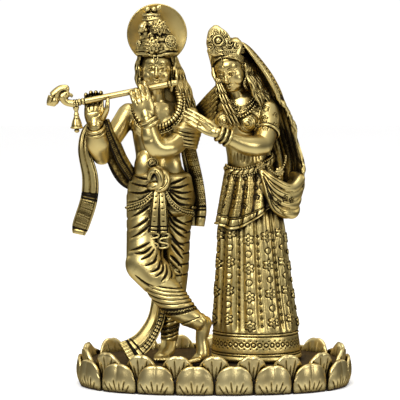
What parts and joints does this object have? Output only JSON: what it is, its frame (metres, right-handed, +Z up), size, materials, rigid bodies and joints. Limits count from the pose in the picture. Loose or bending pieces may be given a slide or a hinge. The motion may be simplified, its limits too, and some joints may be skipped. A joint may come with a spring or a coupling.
{
  "type": "radha krishna statue",
  "caption": "Cast brass group of a flute player and his companion on an oval lotus base, with a round halo plate behind his crown.",
  "frame": {"origin": "middle of the flat underside of the oval base", "axes": "+Z up, -Y to the front, +X to the viewer's right, along the base's long axis"},
  "size_m": [0.2535, 0.1417, 0.3202],
  "materials": {
    "lotus_base_brass": "antique satin, dark in the recesses",
    "krishna_brass": "antique satin, dark in the recesses",
    "radha_brass": "antique satin, dark in the recesses",
    "flute_brass": "antique satin, dark in the recesses",
    "halo_brass": "satin, lightly toned"
  },
  "bodies": {
    "root": {"lotus_base": "lotus_base_brass", "krishna": "krishna_brass", "radha": "radha_brass", "flute": "flute_brass", "halo": "halo_brass"}
  },
  "joints": []
}
